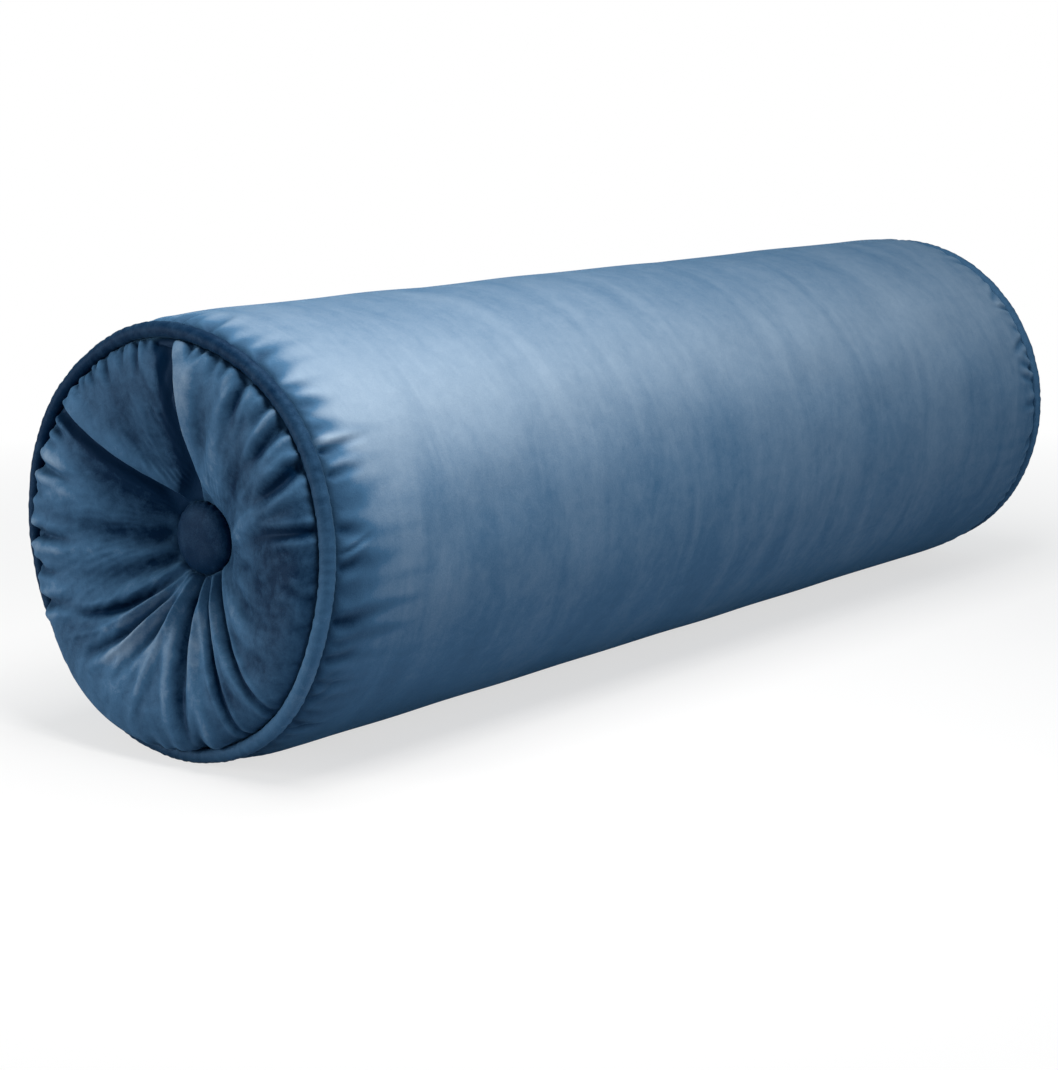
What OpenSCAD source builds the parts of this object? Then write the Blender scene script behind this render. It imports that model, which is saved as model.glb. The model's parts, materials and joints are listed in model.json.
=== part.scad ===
// Round bolster cushion with piped, gathered and buttoned ends.
// It lies on its side: the length runs along X, the floor is z = 0 and the zip faces +Y.
// All lengths are in millimetres.

/* [Cover] */
// Diameter of the stuffed cover
cover_d = 198; // [170:1:220]
// Distance between the two piped seams
cover_l = 612; // [500:1:900]
// Thickness of the velvet
velvet_t = 1.5; // [1.2:0.1:1.8]
// Depth of the flat that the cushion's own weight presses into its underside
flat_h = 2; // [1.8:0.1:2.4]
// How far the body narrows from its full diameter to the middle of the piping
shoulder_drop = 5.6; // [5.6:0.1:6.4]
// Length of the rounded shoulder beside the piping
shoulder_l = 36; // [28:1:45]

/* [Gathered ends] */
// How far the crown of a gathered end stands out past its seam
crown_h = 15; // [12:0.5:18]
// Radius of the crown, where the gathered end stands out most
crown_r = 64; // [58:1:68]
// How far the front of the button lies inside the seam
button_depth = 13; // [11:0.5:15]
// Diameter of the covered button
button_d = 33; // [30:0.5:36]

/* [Piping] */
// Diameter of the covered piping
piping_d = 7; // [6:0.5:8]
// Diameter of the cord inside it
cord_d = 5; // [4:0.5:5]
// Width of the seam allowance turned in at each end
allowance = 10; // [6:1:12]

/* [Zip] */
// Length of the zip's chain
zip_l = 440; // [300:5:460]
// Height of the zip round the back, in degrees above the cushion's middle
zip_angle = 25; // [20:1:35]
// Width of the slot between the two folded edges of velvet
slot_w = 2.4; // [2:0.1:3]
// Length of the pull tab past its hinge
pull_l = 25; // [18:1:32]

/* [Insert] */
// Diameter of the foam roll
core_d = 164; // [150:1:168]
// How far the foam roll stops short of each piped seam
core_gap = 44; // [42:1:60]

/* [Hidden] */
$fn = 96;
r_out = cover_d / 2;
axis_z = r_out - flat_h;
half_l = cover_l / 2;

piping_r = piping_d / 2;
piping_ring_r = r_out - shoulder_drop;
seam_r = piping_ring_r - piping_r;
allowance_r = seam_r - allowance;
hug = 0.1; // air between the piping and the velvet beside it
turned_in = allowance - hug;
flange_t = 0.5; // the piping strip's two seam edges, pressed flat
layer_gap = 0.05;
lining_t = 0.5; // the insert's casing
fold_depth = 15; // room for the deepest folds of a gathered end
sleeve_floor = velvet_t + 0.3;
fill_floor = sleeve_floor + lining_t + 0.1;

button_r = button_d / 2;
button_front = -button_depth;
button_edge_h = 5; // from the top of the dome down to the widest part
button_back_z = button_front - 7.2; // underside of the tucked velvet
plate_t = 1;
plate_z = button_back_z - plate_t;
button_velvet_t = 1.2;
button_shell_t = 0.6;
ruff_r = 13; // the bunched velvet under the button
ruff_t = 4.7;
dimple_r = button_r + 1.5;
dimple_z = plate_z + 1.7;
draw_r = 6; // the hole that the drawn thread leaves
shank_ring_r = 3.2;
shank_wire_r = 0.8;
twine_r = 0.7;
twine_half = 2.2;
twine_top_z = plate_z - 3.6;
twine_low_z = plate_z - 9.8;
backing_r = 10;
backing_t = 2.2;
backing_z = plate_z - ruff_t - 0.1;
knot_r = 1.8;
insert_hollow_z = -37;

tape_t = 0.5;
tape_w = 13;
tape_r = r_out - velvet_t - 0.1;
coil_in = 0.8; // half of the gap that the slider's neck runs in
coil_w = 2;
coil_h = 2.1;
coil_r = tape_r - tape_t - 0.1;
slider_l = 9;
slider_half_w = 4.2;
slider_wall = 1.1;
slider_r = coil_r - coil_h - 0.4;
slider_plate_t = 1.7;
neck_t = 1;
neck_l = 4;
saddle_r = r_out + 0.5;
saddle_t = 0.8;
arch_l = 7;
arch_w = 1.5;
arch_h = 2.9;
arch_wall = 1.2;
hinge_r = saddle_r + saddle_t + 0.9;
hinge_x = 1.1;
hinge_bar_r = 0.8;
pull_t = 1;
pull_w = 5.4;
pull_lean = 3.5;
slider_x = -zip_l / 2 + 6;
groove_half_w = slider_half_w + 0.6;
groove_r = slider_r - slider_plate_t - 0.5;

// ---------- placing ----------

// Turns a shape drawn in a plane and raised along its normal so that the normal runs along +X.
module along_x() { rotate([90, 0, 90]) children(); }

// An end's own frame: the cushion's axis, with zero at the piped seam and outwards positive.
module at_end(side) {
    translate([side * half_l, 0, axis_z])
        if (side > 0) along_x() children();
        else mirror([1, 0, 0]) along_x() children();
}

// The zip's own frame: X along the cushion, Y outwards from its axis, Z across the zip.
module at_zip() { translate([0, 0, axis_z]) rotate([zip_angle, 0, 0]) children(); }

// Everything above a level, for a shape that rests on a flat.
module above(level) {
    intersection() {
        children();
        translate([-cover_l, -cover_d, level]) cube([2 * cover_l, 2 * cover_d, 2 * cover_d]);
    }
}

// ---------- outlines: [radius, distance outwards from the seam] ----------

// Moves each point of an outline square to it, to the right of its direction.
function moved(p, t) = [for (i = [0 : len(p) - 1])
    let (a = p[max(i - 1, 0)], b = p[min(i + 1, len(p) - 1)], d = (b - a) / norm(b - a))
    p[i] + t * [d.y, -d.x]];
function reversed(p) = [for (i = [len(p) - 1 : -1 : 0]) p[i]];
function sunk(p, t) = [for (q = p) [q.x, q.y - t]];

// Part of a circle round the middle of the piping.
function round_piping(from, to, steps) = [for (i = [0 : steps])
    let (a = from + (to - from) * i / steps)
    [piping_ring_r, 0] + (piping_r + hug) * [cos(a), sin(a)]];

// The body's shoulder, from the full diameter down to the piping: a quarter of an ellipse.
shoulder_foot = [piping_ring_r, -piping_r - hug];
shoulder = [for (i = [0 : 7])
    let (a = 90 * i / 7)
    [shoulder_foot.x + (r_out - shoulder_foot.x) * cos(a),
     shoulder_foot.y - shoulder_l * (1 - sin(a))]];
body_edge = concat(shoulder, round_piping(255, 195, 4));

// A gathered end: round the piping, up to the crown, and down the dimple to the button.
crown_foot = [piping_ring_r - 1.3, piping_r];
crown_rise = [for (i = [1 : 7])
    let (a = 90 * i / 7)
    [crown_r + (crown_foot.x - crown_r) * cos(a),
     crown_foot.y + (crown_h - crown_foot.y) * sin(a)]];
function dimple(r) = dimple_z
    + (crown_h - dimple_z) * (1 - pow((crown_r - r) / (crown_r - dimple_r), 1.7));
crown_fall = [for (i = [1 : 9])
    let (r = crown_r + (dimple_r - crown_r) * i / 9)
    [r, dimple(r)]];
panel_face = concat(round_piping(165, 112, 4), crown_rise, crown_fall);
panel_back = moved(panel_face, -velvet_t);

// The insert's end tucks into its sleeve, steps in past the seam allowances, and then lies
// a fold's depth below the gathered end.
insert_r = r_out - velvet_t - tape_t - 0.7;
insert_back_z = -core_gap;
sleeve_end_z = -0.55 * shoulder_l;
tuck_r = insert_r - lining_t - 0.1;
insert_end = concat(
    [[tuck_r, sleeve_end_z - 4], [tuck_r, sleeve_end_z - 0.5]],
    [[seam_r + 1, -10], [allowance_r + 1, -3.2], [allowance_r - 2.2, 0]],
    [for (p = concat(crown_rise, crown_fall))
        if (p.x < allowance_r - 8 && p.x > dimple_r + 4)
            [p.x, (p.y - fold_depth) - (fold_depth - 5) * (crown_h - p.y) / crown_h / 3]],
    [[ruff_r + 3, -34], [ruff_r, insert_hollow_z], [0, insert_hollow_z]]
);

// ---------- velvet cover ----------

// A solid of revolution with the body's outline, drawn in by t all round.
module body_form(t) {
    edge = moved(body_edge, -t);
    far = [for (p = reversed(edge)) [p.x, -cover_l - p.y]];
    translate([half_l, 0, axis_z]) along_x() rotate_extrude()
        polygon(concat([[0, edge[len(edge) - 1].y]], reversed(edge), reversed(far),
            [[0, -cover_l - edge[len(edge) - 1].y]]));
}

module body_allowance(side) {
    at_end(side) rotate_extrude()
        translate([allowance_r, -flange_t / 2 - layer_gap - velvet_t])
        square([turned_in, velvet_t]);
}

module cover_body() {
    color("steelblue") {
        difference() {
            above(0) body_form(0);
            above(velvet_t) body_form(velvet_t);
            for (side = [-1, 1]) at_end(side)
                translate([0, 0, -velvet_t - 1]) cylinder(r = seam_r - velvet_t, h = 4);
            at_zip() translate([-zip_l / 2 + 1, 0, -slot_w / 2])
                cube([zip_l - 2, cover_d, slot_w]);
        }
        for (side = [-1, 1]) body_allowance(side);
    }
}

// One outline: the turned-in seam, the gathered face, the velvet that bunches under the
// button round the drawn thread, and back along the inside.
module end_panel(side) {
    seam = flange_t / 2 + layer_gap;
    color("steelblue") at_end(side) rotate_extrude() polygon(concat(
        [[allowance_r, seam + velvet_t], [allowance_r, seam], [allowance_r + turned_in, seam]],
        panel_face,
        [[button_r - 2.5, plate_z - 0.1], [draw_r, plate_z - 0.1], [draw_r, plate_z - ruff_t],
         [ruff_r, plate_z - ruff_t], [ruff_r, plate_z - velvet_t - 1.5]],
        reversed(panel_back)
    ));
}

// ---------- piping ----------

module ring(r) { rotate_extrude() translate([piping_ring_r, 0]) circle(r = r); }

module piping_cover(side) {
    color("midnightblue") at_end(side) difference() {
        union() {
            ring(piping_r);
            rotate_extrude() translate([allowance_r, -flange_t / 2])
                square([allowance + 0.5, flange_t]);
        }
        ring(cord_d / 2);
    }
}

module piping_cord(side) { color("ivory") at_end(side) ring(cord_d / 2); }

// ---------- covered buttons ----------

// The dome of a covered button: a shallow cap with a rounded edge, turned in a little below.
dome = concat(
    [for (i = [0 : 6])
        let (a = 90 * i / 6)
        [button_r * sin(a), button_front - button_edge_h * (1 - cos(a))]],
    [[button_r - 0.5, button_front - button_edge_h - 1.2]]
);
function dome_inside(t) = [for (q = moved(dome, t)) [max(q.x, 0), q.y]];

module gather_thread(side) {
    color("navy") at_end(side) translate([0, 0, plate_z - ruff_t / 2]) rotate_extrude()
        translate([draw_r - 0.7, 0]) circle(r = 0.6);
}

module button_cover(side) {
    rim_z = button_back_z + button_velvet_t;
    color("midnightblue") at_end(side) rotate_extrude()
        polygon(concat(dome, [[button_r - 1.6, button_back_z], [button_r - 5.5, button_back_z],
            [button_r - 5.5, rim_z], [button_r - 1.9, rim_z]],
            reversed(dome_inside(button_velvet_t))));
}

module button_shell(side) {
    outside = dome_inside(button_velvet_t + layer_gap);
    inside = dome_inside(button_velvet_t + layer_gap + button_shell_t);
    color("silver") at_end(side) rotate_extrude() polygon(concat(
        [for (i = [0 : 6]) outside[i]], [for (i = [6 : -1 : 0]) inside[i]]));
}

module button_back(side) {
    color("silver") at_end(side) difference() {
        translate([0, 0, plate_z]) cylinder(r = button_r - 3, h = plate_t);
        for (u = [-1, 1]) translate([u * shank_ring_r, 0, plate_z - 1])
            cylinder(r = shank_wire_r + 0.05, h = plate_t + 2);
    }
}

// A wire staple whose two legs are clenched above the back plate.
module button_shank(side) {
    color("silver") at_end(side) translate([0, 0, plate_z]) {
        rotate([90, 0, 0]) rotate([0, 0, 180]) rotate_extrude(angle = 180)
            translate([shank_ring_r, 0]) circle(r = shank_wire_r);
        for (u = [-1, 1]) translate([u * shank_ring_r, 0, 0])
            cylinder(r = shank_wire_r, h = plate_t + 0.8);
    }
}

// A closed loop of twine through the shank and the backing button, with its knot.
module button_twine(side) {
    color("navy") at_end(side) {
        for (end_z = [twine_top_z, twine_low_z]) translate([0, 0, end_z])
            rotate([0, 0, 90]) rotate([90, 0, 0])
            rotate([0, 0, end_z == twine_top_z ? 0 : 180]) rotate_extrude(angle = 180)
            translate([twine_half, 0]) circle(r = twine_r);
        for (v = [-1, 1]) translate([0, v * twine_half, twine_low_z])
            cylinder(r = twine_r, h = twine_top_z - twine_low_z);
        translate([0, 0, twine_low_z - twine_half]) sphere(r = knot_r);
    }
}

module backing_button(side) {
    color("gainsboro") at_end(side) difference() {
        translate([0, 0, backing_z - backing_t]) union() {
            cylinder(r = backing_r - 2, h = backing_t);
            difference() {
                cylinder(r = backing_r, h = backing_t);
                translate([0, 0, -1]) cylinder(r = backing_r - 2.5, h = 1.5);
            }
        }
        for (a = [0 : 90 : 270]) rotate([0, 0, a]) translate([0, twine_half, backing_z - backing_t - 1])
            cylinder(r = twine_r + 0.15, h = backing_t + 2);
    }
}

// ---------- insert ----------

// The straight part of the insert, of radius r, from end to end.
module insert_roll(r, end_z) {
    translate([half_l + end_z, 0, axis_z]) rotate([0, -90, 0])
        cylinder(r = r, h = cover_l + 2 * end_z);
}

// The dent that the zip's chain and slider press into the insert.
module zip_groove(slack) {
    at_zip() translate([-zip_l / 2 - 6 - slack, groove_r - slack, -groove_half_w - slack])
        cube([zip_l + 12 + 2 * slack, cover_d, 2 * (groove_half_w + slack)]);
}

module casing_sleeve() {
    color("white") difference() {
        above(sleeve_floor) difference() {
            insert_roll(insert_r, sleeve_end_z);
            zip_groove(0);
        }
        above(sleeve_floor + lining_t) difference() {
            insert_roll(insert_r - lining_t, sleeve_end_z + 1);
            zip_groove(lining_t);
        }
    }
}

module casing_end(side) {
    color("white") above(fill_floor) at_end(side) rotate_extrude()
        polygon(concat(insert_end, reversed(moved(insert_end, -lining_t))));
}

module end_pad(side) {
    face = moved(insert_end, -lining_t - 0.1);
    color("whitesmoke") above(fill_floor + 0.1) at_end(side) rotate_extrude()
        polygon(concat(face, [[0, insert_back_z], [face[0].x, insert_back_z]]));
}

module foam_core() { color("khaki") insert_roll(core_d / 2, insert_back_z - 0.1); }

module fibre_wrap() {
    color("whitesmoke") difference() {
        above(fill_floor) insert_roll(tuck_r, insert_back_z - 0.1);
        insert_roll(core_d / 2, 0);
        zip_groove(lining_t + 0.1);
    }
}

// ---------- zip ----------

module zip_tape(side) {
    color("navy") at_zip() intersection() {
        translate([-zip_l / 2 - 12, 0, 0]) along_x() difference() {
            cylinder(r = tape_r, h = zip_l + 24);
            translate([0, 0, -1]) cylinder(r = tape_r - tape_t, h = zip_l + 26);
        }
        translate([-zip_l, 0, side > 0 ? coil_in : -coil_in - tape_w])
            cube([2 * zip_l, cover_d, tape_w]);
    }
}

// One row of the chain, as a strip with rounded corners over all its turns.
module zip_coil(side) {
    r = 0.7;
    color("navy") at_zip() translate([-zip_l / 2, coil_r - coil_h, side > 0 ? coil_in : -coil_in - coil_w])
        along_x() linear_extrude(height = zip_l) polygon([[r, 0], [coil_h - r, 0], [coil_h, r],
            [coil_h, coil_w - r], [coil_h - r, coil_w], [r, coil_w], [0, coil_w - r], [0, r]]);
}

module zip_top_stops() {
    color("silver") at_zip() for (side = [-1, 1])
        translate([-zip_l / 2 - 4, coil_r - coil_h, side * (coil_in + coil_w / 2) - 1.2])
            cube([3.6, coil_h, 2.4]);
}

module zip_bottom_stop() {
    color("silver") at_zip() translate([zip_l / 2 + 0.4, coil_r - coil_h, -3.2])
        cube([3.6, coil_h, 6.4]);
}

module zip_slider() {
    channel = slider_half_w - slider_wall;
    color("slategray") at_zip() translate([slider_x, 0, 0]) {
        translate([-slider_l / 2, slider_r - slider_plate_t, -slider_half_w])
            cube([slider_l, slider_plate_t, 2 * slider_half_w]);
        for (side = [-1, 1])
            translate([-slider_l / 2, slider_r - 0.1, side > 0 ? channel : -slider_half_w])
                cube([slider_l, coil_r - 0.3 - slider_r + 0.1, slider_wall]);
        translate([-neck_l / 2, slider_r - 0.1, -neck_t / 2])
            cube([neck_l, saddle_r - slider_r + 0.2, neck_t]);
        translate([-arch_l / 2 - 0.8, saddle_r, -2.4]) cube([arch_l + 1.6, saddle_t, 4.8]);
        difference() {
            translate([-arch_l / 2, saddle_r + 0.1, -arch_w / 2])
                cube([arch_l, arch_h + saddle_t - 0.1, arch_w]);
            translate([-arch_l / 2 + arch_wall, saddle_r + saddle_t, -arch_w])
                cube([arch_l - 2 * arch_wall, arch_h - arch_wall + 0.1, 2 * arch_w]);
        }
    }
}

module zip_pull() {
    arm_in = arch_w / 2 + 0.25;
    arm_w = 1.2;
    window = arch_l / 2 + hinge_x + 1.4;
    color("slategray") at_zip() translate([slider_x + hinge_x, hinge_r, 0]) {
        translate([0, 0, -arm_in - arm_w]) cylinder(r = hinge_bar_r, h = 2 * (arm_in + arm_w));
        rotate([0, 0, -pull_lean]) rotate([-90, 0, 0]) translate([0, 0, -pull_t / 2]) {
            for (side = [-1, 1])
                translate([0, side > 0 ? arm_in : -arm_in - arm_w, 0]) cube([window + 0.5, arm_w, pull_t]);
            difference() {
                linear_extrude(height = pull_t) union() {
                    translate([window, -arm_in - arm_w]) square([4, 2 * (arm_in + arm_w)]);
                    polygon([[window + 2, -arm_in - arm_w], [pull_l - pull_w / 2, -pull_w / 2],
                        [pull_l - pull_w / 2, pull_w / 2], [window + 2, arm_in + arm_w]]);
                    translate([pull_l - pull_w / 2, 0]) circle(r = pull_w / 2);
                }
                translate([window + 4, -1, pull_t - 0.3]) cube([pull_l - window - 8, 2, 1]);
            }
        }
    }
}

// ---------- nodes ----------

cover_body();
end_panel(-1);  // end_panel_left
end_panel(1);  // end_panel_right
piping_cover(-1);  // piping_cover_left
piping_cover(1);  // piping_cover_right
piping_cord(-1);  // piping_cord_left
piping_cord(1);  // piping_cord_right
gather_thread(-1);  // gather_thread_left
gather_thread(1);  // gather_thread_right
button_cover(-1);  // button_cover_left
button_cover(1);  // button_cover_right
button_shell(-1);  // button_shell_left
button_shell(1);  // button_shell_right
button_back(-1);  // button_back_left
button_back(1);  // button_back_right
button_shank(-1);  // button_shank_left
button_shank(1);  // button_shank_right
button_twine(-1);  // button_twine_left
button_twine(1);  // button_twine_right
backing_button(-1);  // backing_button_left
backing_button(1);  // backing_button_right
casing_sleeve();
casing_end(-1);  // casing_end_left
casing_end(1);  // casing_end_right
foam_core();
fibre_wrap();
end_pad(-1);  // end_pad_left
end_pad(1);  // end_pad_right
zip_tape(1);  // zip_tape_upper
zip_tape(-1);  // zip_tape_lower
zip_coil(1);  // zip_coil_upper
zip_coil(-1);  // zip_coil_lower
zip_top_stops();
zip_bottom_stop();
zip_slider();
zip_pull();
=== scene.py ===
import json
import math

import bmesh
import bpy
import numpy as np
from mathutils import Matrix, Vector


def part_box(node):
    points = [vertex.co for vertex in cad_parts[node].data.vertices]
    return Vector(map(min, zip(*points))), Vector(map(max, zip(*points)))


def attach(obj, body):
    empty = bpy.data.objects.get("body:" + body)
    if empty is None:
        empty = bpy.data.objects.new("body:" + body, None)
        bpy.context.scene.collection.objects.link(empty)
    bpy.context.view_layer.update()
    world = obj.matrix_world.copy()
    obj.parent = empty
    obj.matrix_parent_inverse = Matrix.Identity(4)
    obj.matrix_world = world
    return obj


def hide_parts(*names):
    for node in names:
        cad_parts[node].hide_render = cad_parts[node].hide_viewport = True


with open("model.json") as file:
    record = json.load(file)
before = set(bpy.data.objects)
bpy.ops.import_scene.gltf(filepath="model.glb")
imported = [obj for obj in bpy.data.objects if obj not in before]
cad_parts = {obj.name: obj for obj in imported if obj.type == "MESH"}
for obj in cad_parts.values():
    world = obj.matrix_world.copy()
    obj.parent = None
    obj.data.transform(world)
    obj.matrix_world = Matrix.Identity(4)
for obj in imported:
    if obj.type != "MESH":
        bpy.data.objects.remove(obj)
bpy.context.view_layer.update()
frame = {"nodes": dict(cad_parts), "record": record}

bl_info = {
    "name": "Velvet Bolster Cushion",
    "version": (1, 0, 0),
    "blender": (4, 5, 0),
    "location": "View3D > Sidebar > Bolster",
    "description": "Builds a round velvet bolster with piped, gathered and buttoned ends",
    "category": "Object",
}

ENDS = ("left", "right")


# ---------- sizes and colours ----------


def middle(node):
    """The middle of a CAD node's box."""
    low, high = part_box(node)
    return (low + high) / 2


def extent(node):
    """The edges of a CAD node's box."""
    low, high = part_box(node)
    return high - low


def length_setting(name, description, default, low, high):
    """A setting in metres."""
    return bpy.props.FloatProperty(
        name=name, description=description, default=default, min=low, max=high, unit="LENGTH"
    )


def colour_setting(name, description, default):
    """A setting for a colour."""
    return bpy.props.FloatVectorProperty(
        name=name, description=description, default=default, subtype="COLOR", size=4, min=0, max=1
    )


class BolsterSizes(bpy.types.PropertyGroup):
    """Lengths that the pieces share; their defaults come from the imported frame."""

    body_radius: length_setting(
        "Body radius", "Radius of the stuffed cover", extent("cover_body").y / 2, 0.05, 0.2
    )
    axis_height: length_setting(
        "Axis height",
        "Height of the cushion's axis above the floor",
        middle("piping_cover_left").z,
        0.05,
        0.2,
    )
    seam_distance: length_setting(
        "Seam distance",
        "Distance between the two piped seams",
        middle("piping_cover_right").x - middle("piping_cover_left").x,
        0.2,
        1.0,
    )
    piping_radius: length_setting(
        "Piping radius",
        "Radius of the covered piping",
        extent("piping_cover_left").x / 2,
        0.002,
        0.006,
    )
    piping_ring: length_setting(
        "Piping ring",
        "Radius of the ring that the middle of the piping makes",
        (extent("piping_cover_left").y - extent("piping_cover_left").x) / 2,
        0.05,
        0.2,
    )
    button_radius: length_setting(
        "Button radius",
        "Radius of a covered button",
        extent("button_cover_left").y / 2,
        0.008,
        0.03,
    )
    gather_pitch: length_setting(
        "Gather pitch", "Distance between the gathers at an end's seam", 0.0078, 0.004, 0.02
    )
    gather_depth: length_setting(
        "Gather depth", "Depth of the gathers at an end's seam", 0.0021, 0.0, 0.005
    )
    pucker_depth: length_setting(
        "Pucker depth", "Depth of the body's puckers beside the piping", 0.0011, 0.0, 0.004
    )


class BolsterColours(bpy.types.PropertyGroup):
    """Colours of the cloth, the zip and the floor."""

    # One ramp for random tone and for the painted light and shade of the nap attribute: the deep
    # colour also serves as painted shade, the light one as painted highlight.
    velvet_deep: colour_setting(
        "Velvet, against the nap",
        "Colour of the velvet where its pile leans towards the eye, and of its painted shade",
        (0.001, 0.011, 0.034, 1.0),
    )
    velvet_mid: colour_setting(
        "Velvet, upright",
        "Colour of the velvet where its pile stands straight up",
        (0.045, 0.111, 0.202, 1.0),
    )
    velvet_light: colour_setting(
        "Velvet, with the nap",
        "Colour of the velvet where its pile lies flat, and of its painted highlights",
        (0.240, 0.322, 0.418, 1.0),
    )
    zip_dye: colour_setting("Zip", "Colour of the zip's tape and chain", (0.012, 0.030, 0.065, 1.0))
    zip_metal: colour_setting(
        "Zip metal", "Colour of the zip's painted slider and pull", (0.030, 0.050, 0.085, 1.0)
    )
    floor: colour_setting("Floor", "Colour of the studio floor", (0.80, 0.81, 0.82, 1.0))


# ---------- shader expressions ----------


class Value:
    """An output socket of a material; arithmetic on it adds Math nodes."""

    def __init__(self, recipe, socket):
        self.recipe, self.socket = recipe, socket

    def maths(self, operation, a, b=0.0, clamp=False):
        settings = {"operation": operation, "use_clamp": clamp}
        return self.recipe.node("ShaderNodeMath", settings, {0: a, 1: b})

    def __add__(self, other):
        return self.maths("ADD", self, other)

    def __sub__(self, other):
        return self.maths("SUBTRACT", self, other)

    def __rsub__(self, other):
        return self.maths("SUBTRACT", other, self)

    def __mul__(self, other):
        return self.maths("MULTIPLY", self, other)

    __radd__ = __add__
    __rmul__ = __mul__

    def within(self):
        """This value, held between 0 and 1."""
        return self.maths("ADD", self, 0.0, clamp=True)


class Recipe:
    """A material, built from node expressions."""

    def __init__(self, name):
        self.material = bpy.data.materials.new(name)
        self.material.use_nodes = True
        self.tree = self.material.node_tree
        self.tree.nodes.clear()

    def node(self, kind, settings=None, inputs=None, output=0):
        """Adds one node: its settings first, then the values or links of its sockets."""
        made = self.tree.nodes.new(kind)
        for key, value in (settings or {}).items():
            setattr(made, key, value)
        for key, value in (inputs or {}).items():
            if isinstance(value, Value):
                self.tree.links.new(value.socket, made.inputs[key])
            else:
                made.inputs[key].default_value = value
        return Value(self, made.outputs[output]) if made.outputs else None

    def place(self, scale=(1, 1, 1), turn=(0, 0, 0)):
        """Object coordinates, scaled and turned."""
        point = self.node("ShaderNodeTexCoord", output="Object")
        inputs = {"Vector": point, "Scale": scale, "Rotation": turn}
        return self.node("ShaderNodeMapping", {}, inputs)

    def noise(self, vector, scale, detail=2.0, rough=0.5, distortion=0.0):
        """Noise between 0 and 1."""
        inputs = {
            "Vector": vector,
            "Scale": scale,
            "Detail": detail,
            "Roughness": rough,
            "Distortion": distortion,
        }
        return self.node("ShaderNodeTexNoise", {}, inputs)

    def attribute(self, name):
        """A number kept on the mesh's points."""
        return self.node("ShaderNodeAttribute", {"attribute_name": name}, output="Fac")

    def mix(self, share, first, second):
        """The colour that lies share of the way from first to second."""
        return self.node(
            "ShaderNodeMix", {"data_type": "RGBA"}, {0: share, 6: first, 7: second}, 2
        )

    def bump(self, height, distance, strength=1.0):
        """A normal tilted by a height, where height 1 stands out by distance."""
        inputs = {"Height": height, "Distance": distance, "Strength": strength}
        return self.node("ShaderNodeBump", {}, inputs)

    def finish(self, sockets):
        """Closes the material with a Principled shader."""
        shader = self.node("ShaderNodeBsdfPrincipled", {}, sockets)
        self.node("ShaderNodeOutputMaterial", {}, {"Surface": shader})
        return self.material


def toned(shade, gain, lift=0.0):
    """A colour made paler or darker: gain times it, plus lift, and no more than 1."""
    return tuple(min(1.0, gain * c + lift) for c in shade[:3]) + (1.0,)


def velvet(name, painted_shade_bias=-0.02, streaks=1.0, crush=0.26, nap=None, sheen=0.15):
    """Cut-pile velvet: brushed streaks, soft mottling and a fine grain of pile ends.

    Its shade runs from the deep colour through the middle one to the light one with noise
    stretched round the cushion, finer mottling, a bias that darkens a whole piece as painted
    shade, and the mesh's own nap attribute, which holds painted light and shade.
    """
    colours = bpy.context.scene.bolster_colours
    r = Recipe(name)
    broad = r.noise(r.place((2.2, 5.0, 5.0)), 1.0, 2.0, 0.5)
    brushed = r.noise(r.place((34.0, 7.0, 9.0), (0.2, 0.25, 0.0)), 1.0, 4.0, 0.6, 0.8)
    crushed = r.noise(r.place((1, 1, 1)), 150.0, 3.0, 0.6, 0.4)
    grain = r.noise(r.place((1, 1, 1)), 1500.0, 2.0, 0.7)
    share = (
        0.50
        + painted_shade_bias
        + (broad - 0.5) * 0.28
        + (brushed - 0.5) * (0.42 * streaks)
        + (crushed - 0.5) * crush
        + (grain - 0.5) * 0.17
    )
    # The nap attribute is painted light and shade: painted highlights where light falls, painted
    # shade in creases, tucks and recesses.
    if nap:
        share = share + r.attribute(nap)
    lower = r.mix((share * 2).within(), tuple(colours.velvet_deep), tuple(colours.velvet_mid))
    shade = r.mix((share * 2 - 1).within(), lower, tuple(colours.velvet_light))
    relief = grain * 0.35 + crushed * 0.65
    return r.finish(
        {
            "Base Color": shade,
            "Roughness": 0.58 - (grain - 0.5) * 0.2,
            "Specular IOR Level": 0.15,
            "Specular Tint": (0.12, 0.46, 1.0, 1.0),
            "Sheen Weight": sheen,
            "Sheen Roughness": 0.42,
            "Sheen Tint": (0.22, 0.58, 1.0, 1.0),
            "Normal": r.bump(relief, 0.0006, 0.6),
        }
    )


def woven_tape(name):
    """Zip tape: a herringbone of fine ribs that run along it, each lighter on its raised middle as
    a painted highlight.
    """
    colours = bpy.context.scene.bolster_colours
    r = Recipe(name)
    rib = r.node(
        "ShaderNodeTexWave",
        {"wave_type": "BANDS", "bands_direction": "X"},
        {"Vector": r.place((1, 1, 1), (0, 0, 0.7)), "Scale": 320.0, "Distortion": 1.5},
        "Fac",
    )
    dye = tuple(colours.zip_dye)
    return r.finish(
        {
            "Base Color": r.mix(rib, dye, toned(dye, 2.2, 0.01)),
            "Roughness": 0.8 - rib * 0.15,
            "Specular IOR Level": 0.2,
            "Normal": r.bump(rib, 0.0002, 0.7),
        }
    )


def coil_nylon(name):
    """Zip coil: dyed nylon with a painted highlight on the ridge of every turn along X."""
    colours = bpy.context.scene.bolster_colours
    r = Recipe(name)
    turns = r.node(
        "ShaderNodeTexWave",
        {"wave_type": "BANDS", "bands_direction": "X", "wave_profile": "SIN"},
        {"Vector": r.place(), "Scale": 262.0, "Distortion": 0.0},
        "Fac",
    )
    dye = tuple(colours.zip_dye)
    return r.finish(
        {
            "Base Color": r.mix(turns, dye, toned(dye, 3.5, 0.02)),
            "Roughness": 0.55 - turns * 0.15,
            "Specular IOR Level": 0.2,
            "Specular Tint": (0.3, 0.6, 1.0, 1.0),
            "Normal": r.bump(turns, 0.0006, 1.0),
        }
    )


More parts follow.
